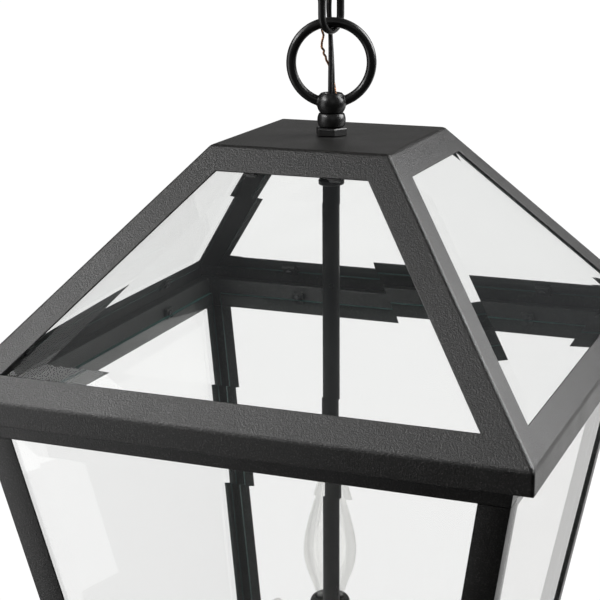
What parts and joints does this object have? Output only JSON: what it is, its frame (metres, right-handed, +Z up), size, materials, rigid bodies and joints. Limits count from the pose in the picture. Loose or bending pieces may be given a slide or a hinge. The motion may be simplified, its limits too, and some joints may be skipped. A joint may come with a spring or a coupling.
{
  "type": "hanging lantern",
  "caption": "Square tapered hanging lantern: pyramid roof, bevelled glass, black frame, candle cluster on a stem, ring loop, chain and ceiling canopy.",
  "frame": {"origin": "on the ceiling, at the centre of the mounting strap's upper face, on the lantern's vertical axis", "axes": "+Z up; -Y is the lantern's front face and +X its right face, so the four roof and body faces square up with X and Y; the lowest chain link lies 75 degrees round from +X"},
  "size_m": [0.33, 0.33, 0.7181],
  "materials": {
    "powder_coat": "black powder coat with a fine sand texture",
    "satin_black": "satin black enamel",
    "pane_glass": "clear bevelled float glass with a green edge",
    "bulb_glass": "thin clear glass",
    "zinc_steel": "zinc plated",
    "green_screw": "green dyed zinc",
    "brass": "bright brass",
    "phenolic": "matt moulded phenolic",
    "cord_jacket": "satin black vinyl",
    "copper": "bare twisted copper"
  },
  "bodies": {
    "ceiling": {"mounting_strap": "zinc_steel", "canopy_nipple": "zinc_steel", "nipple_nut": "zinc_steel", "canopy": "powder_coat", "canopy_loop": "satin_black", "canopy_collar": "satin_black", "strap_screw_1": "zinc_steel", "strap_screw_2": "zinc_steel", "ground_screw": "green_screw", "power_cord": "cord_jacket", "ground_wire": "copper"},
    "link_1": {"chain_link_1": "satin_black"},
    "link_2": {"chain_link_2": "satin_black"},
    "link_3": {"chain_link_3": "satin_black"},
    "lantern": {"lantern_loop": "satin_black", "neck_ball": "satin_black", "plate_nut": "satin_black", "roof_frame": "powder_coat", "stem_coupling": "satin_black", "stem_flange": "satin_black", "stem": "satin_black", "stem_cord": "cord_jacket", "roof_glass_front": "pane_glass", "roof_glass_right": "pane_glass", "roof_glass_back": "pane_glass", "roof_glass_left": "pane_glass", "body_top_frame": "powder_coat", "bottom_frame": "powder_coat", "corner_post_front_left": "powder_coat", "corner_post_front_right": "powder_coat", "corner_post_back_right": "powder_coat", "corner_post_back_left": "powder_coat", "body_glass_front": "pane_glass", "body_glass_right": "pane_glass", "body_glass_back": "pane_glass", "body_glass_left": "pane_glass", "cluster_body": "satin_black", "cluster_finial": "satin_black", "arm_1": "satin_black", "cup_1": "satin_black", "candle_sleeve_1": "satin_black", "socket_1": "phenolic", "arm_2": "satin_black", "cup_2": "satin_black", "candle_sleeve_2": "satin_black", "socket_2": "phenolic", "arm_3": "satin_black", "cup_3": "satin_black", "candle_sleeve_3": "satin_black", "socket_3": "phenolic"},
    "bulb_1_thread": {"bulb_contact_1": "brass"},
    "bulb_1": {"bulb_base_1": "brass", "bulb_glass_1": "bulb_glass"},
    "bulb_2_thread": {"bulb_contact_2": "brass"},
    "bulb_2": {"bulb_base_2": "brass", "bulb_glass_2": "bulb_glass"},
    "bulb_3_thread": {"bulb_contact_3": "brass"},
    "bulb_3": {"bulb_base_3": "brass", "bulb_glass_3": "bulb_glass"}
  },
  "joints": [
    {"name": "link_1_swing", "type": "hinge", "parent": "ceiling", "child": "link_1", "pos_m": [0, 0, -0.08085], "axis": [-0.9659, 0.2588, 0], "range_deg": [-20, 20], "deforming": ["power_cord", "ground_wire"]},
    {"name": "link_2_swing", "type": "hinge", "parent": "link_1", "child": "link_2", "pos_m": [0, 0, -0.11235], "axis": [0.2588, 0.9659, 0], "range_deg": [-20, 20], "deforming": ["power_cord", "ground_wire"]},
    {"name": "link_3_swing", "type": "hinge", "parent": "link_2", "child": "link_3", "pos_m": [0, 0, -0.14445], "axis": [-0.9659, 0.2588, 0], "range_deg": [-20, 20], "deforming": ["power_cord", "ground_wire"]},
    {"name": "lantern_swing", "type": "hinge", "parent": "link_3", "child": "lantern", "pos_m": [0, 0, -0.17655], "axis": [0.2588, 0.9659, 0], "range_deg": [-20, 20], "deforming": ["power_cord", "ground_wire"]},
    {"name": "bulb_1_rise", "type": "slide", "parent": "lantern", "child": "bulb_1_thread", "axis": [0, 0, 1], "range_m": [0, 0.00762]},
    {"name": "bulb_1_turn", "type": "hinge", "parent": "bulb_1_thread", "child": "bulb_1", "pos_m": [-0.01442, 0.0357, -0.545], "axis": [0, 0, 1], "range_deg": [0, 1080]},
    {"name": "bulb_2_rise", "type": "slide", "parent": "lantern", "child": "bulb_2_thread", "axis": [0, 0, 1], "range_m": [0, 0.00762]},
    {"name": "bulb_2_turn", "type": "hinge", "parent": "bulb_2_thread", "child": "bulb_2", "pos_m": [-0.0237, -0.03034, -0.6043], "axis": [0, 0, 1], "range_deg": [0, 1080]},
    {"name": "bulb_3_rise", "type": "slide", "parent": "lantern", "child": "bulb_3_thread", "axis": [0, 0, 1], "range_m": [0, 0.00762]},
    {"name": "bulb_3_turn", "type": "hinge", "parent": "bulb_3_thread", "child": "bulb_3", "pos_m": [0.03812, -0.00536, -0.633], "axis": [0, 0, 1], "range_deg": [0, 1080]}
  ],
  "couplings": [
    {"joint": "bulb_1_turn", "follows": "bulb_1_rise", "rad_per_m": 2473.7},
    {"joint": "bulb_2_turn", "follows": "bulb_2_rise", "rad_per_m": 2473.7},
    {"joint": "bulb_3_turn", "follows": "bulb_3_rise", "rad_per_m": 2473.7}
  ]
}
